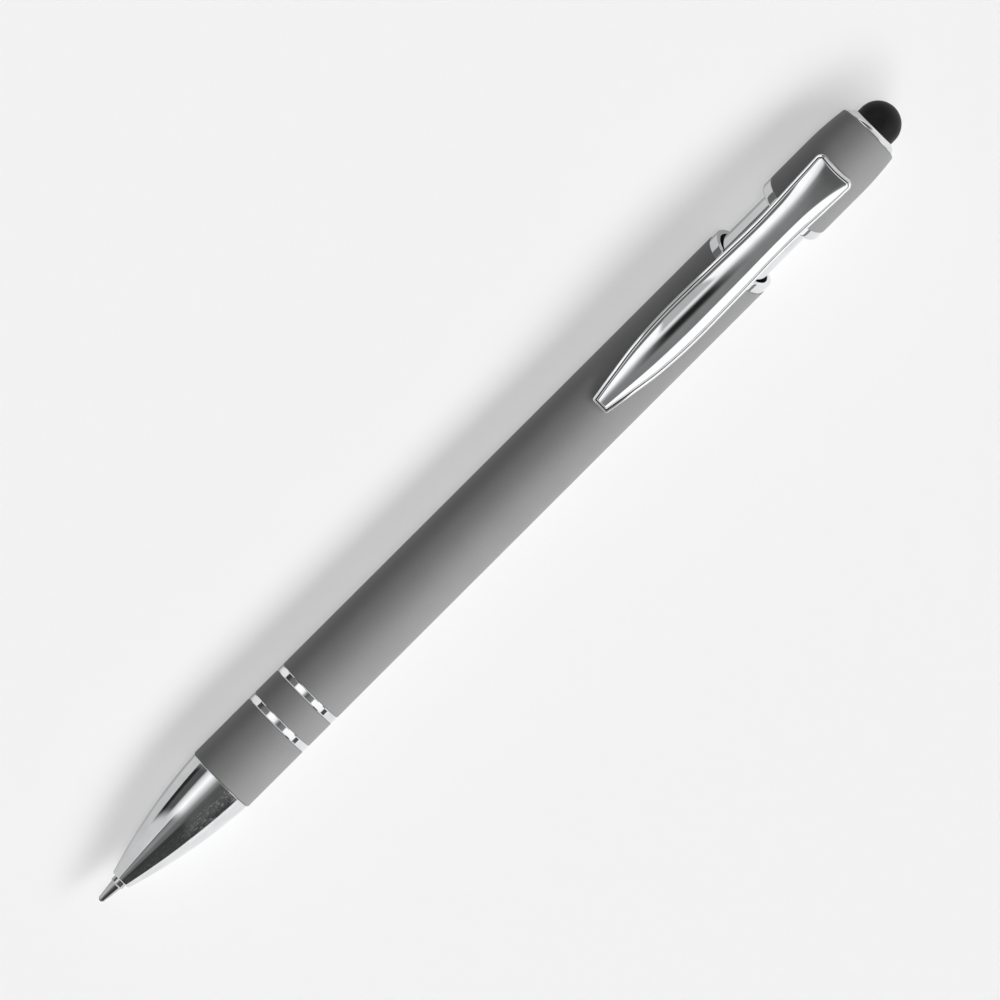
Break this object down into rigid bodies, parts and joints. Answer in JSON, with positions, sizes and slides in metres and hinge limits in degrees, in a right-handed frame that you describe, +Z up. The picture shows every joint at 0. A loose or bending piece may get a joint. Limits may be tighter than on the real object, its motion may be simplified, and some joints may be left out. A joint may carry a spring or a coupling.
{
  "type": "stylus pen",
  "caption": "Push-action ballpoint pen with a soft stylus dome on its cap, a matte barrel with a plated nose and rings, and a sprung pocket clip.",
  "frame": {"origin": "on the surface the barrel lies on, under the middle of the pen's length", "axes": "+X along the pen from the writing tip to the stylus, +Y across the pen, +Z up through the clip"},
  "size_m": [0.1404, 0.0094, 0.0119],
  "materials": {
    "soft_touch_paint": "matte soft-touch paint",
    "bright_plate": "polished bright plate",
    "stylus_rubber": "smooth conductive rubber",
    "nickel_silver": "turned and drawn",
    "hard_metal": "ground",
    "spring_steel": "drawn wire",
    "turned_brass": "turned",
    "natural_acetal": "moulded",
    "black_moulding": "moulded",
    "ink_paste": "paste ink"
  },
  "bodies": {
    "barrel": {"barrel": "soft_touch_paint", "front_ring": "bright_plate", "rear_ring": "bright_plate", "front_bush": "turned_brass", "cam_sleeve": "black_moulding", "rear_collar": "bright_plate", "spring": "spring_steel"},
    "nose": {"nose_cone": "bright_plate"},
    "refill": {"point": "nickel_silver", "point_holder": "nickel_silver", "ink_tube": "nickel_silver", "ink": "ink_paste", "rotor": "natural_acetal"},
    "ball": {"writing_ball": "hard_metal"},
    "cap": {"plunger": "natural_acetal", "neck_tube": "bright_plate", "cap_ring": "bright_plate", "cap_shell": "soft_touch_paint", "cap_core": "black_moulding", "end_ring": "bright_plate", "stylus_tip": "stylus_rubber"},
    "clip": {"clip": "bright_plate"}
  },
  "joints": [
    {"name": "cap_push", "type": "slide", "parent": "barrel", "child": "cap", "axis": [-1, 0, 0], "range_m": [-0.005, 0.0012]},
    {"name": "refill_slide", "type": "slide", "parent": "barrel", "child": "refill", "axis": [-1, 0, 0], "range_m": [-0.005, 0.0012], "deforming": ["spring"]},
    {"name": "nose_unscrew", "type": "slide", "parent": "barrel", "child": "nose", "axis": [-1, 0, 0], "range_m": [0, 0.03]},
    {"name": "clip_flex", "type": "hinge", "parent": "cap", "child": "clip", "pos_m": [0.05825, 0, 0.00945], "axis": [0, 1, 0], "range_deg": [0, 3], "stiffness_Nm_per_rad": 1.5},
    {"name": "ball_roll", "type": "hinge", "parent": "refill", "child": "ball", "pos_m": [-0.06985, 0, 0.00475], "axis": [0, 1, 0], "continuous": true}
  ],
  "couplings": [
    {"joint": "refill_slide", "follows": "cap_push", "ratio": 1}
  ]
}
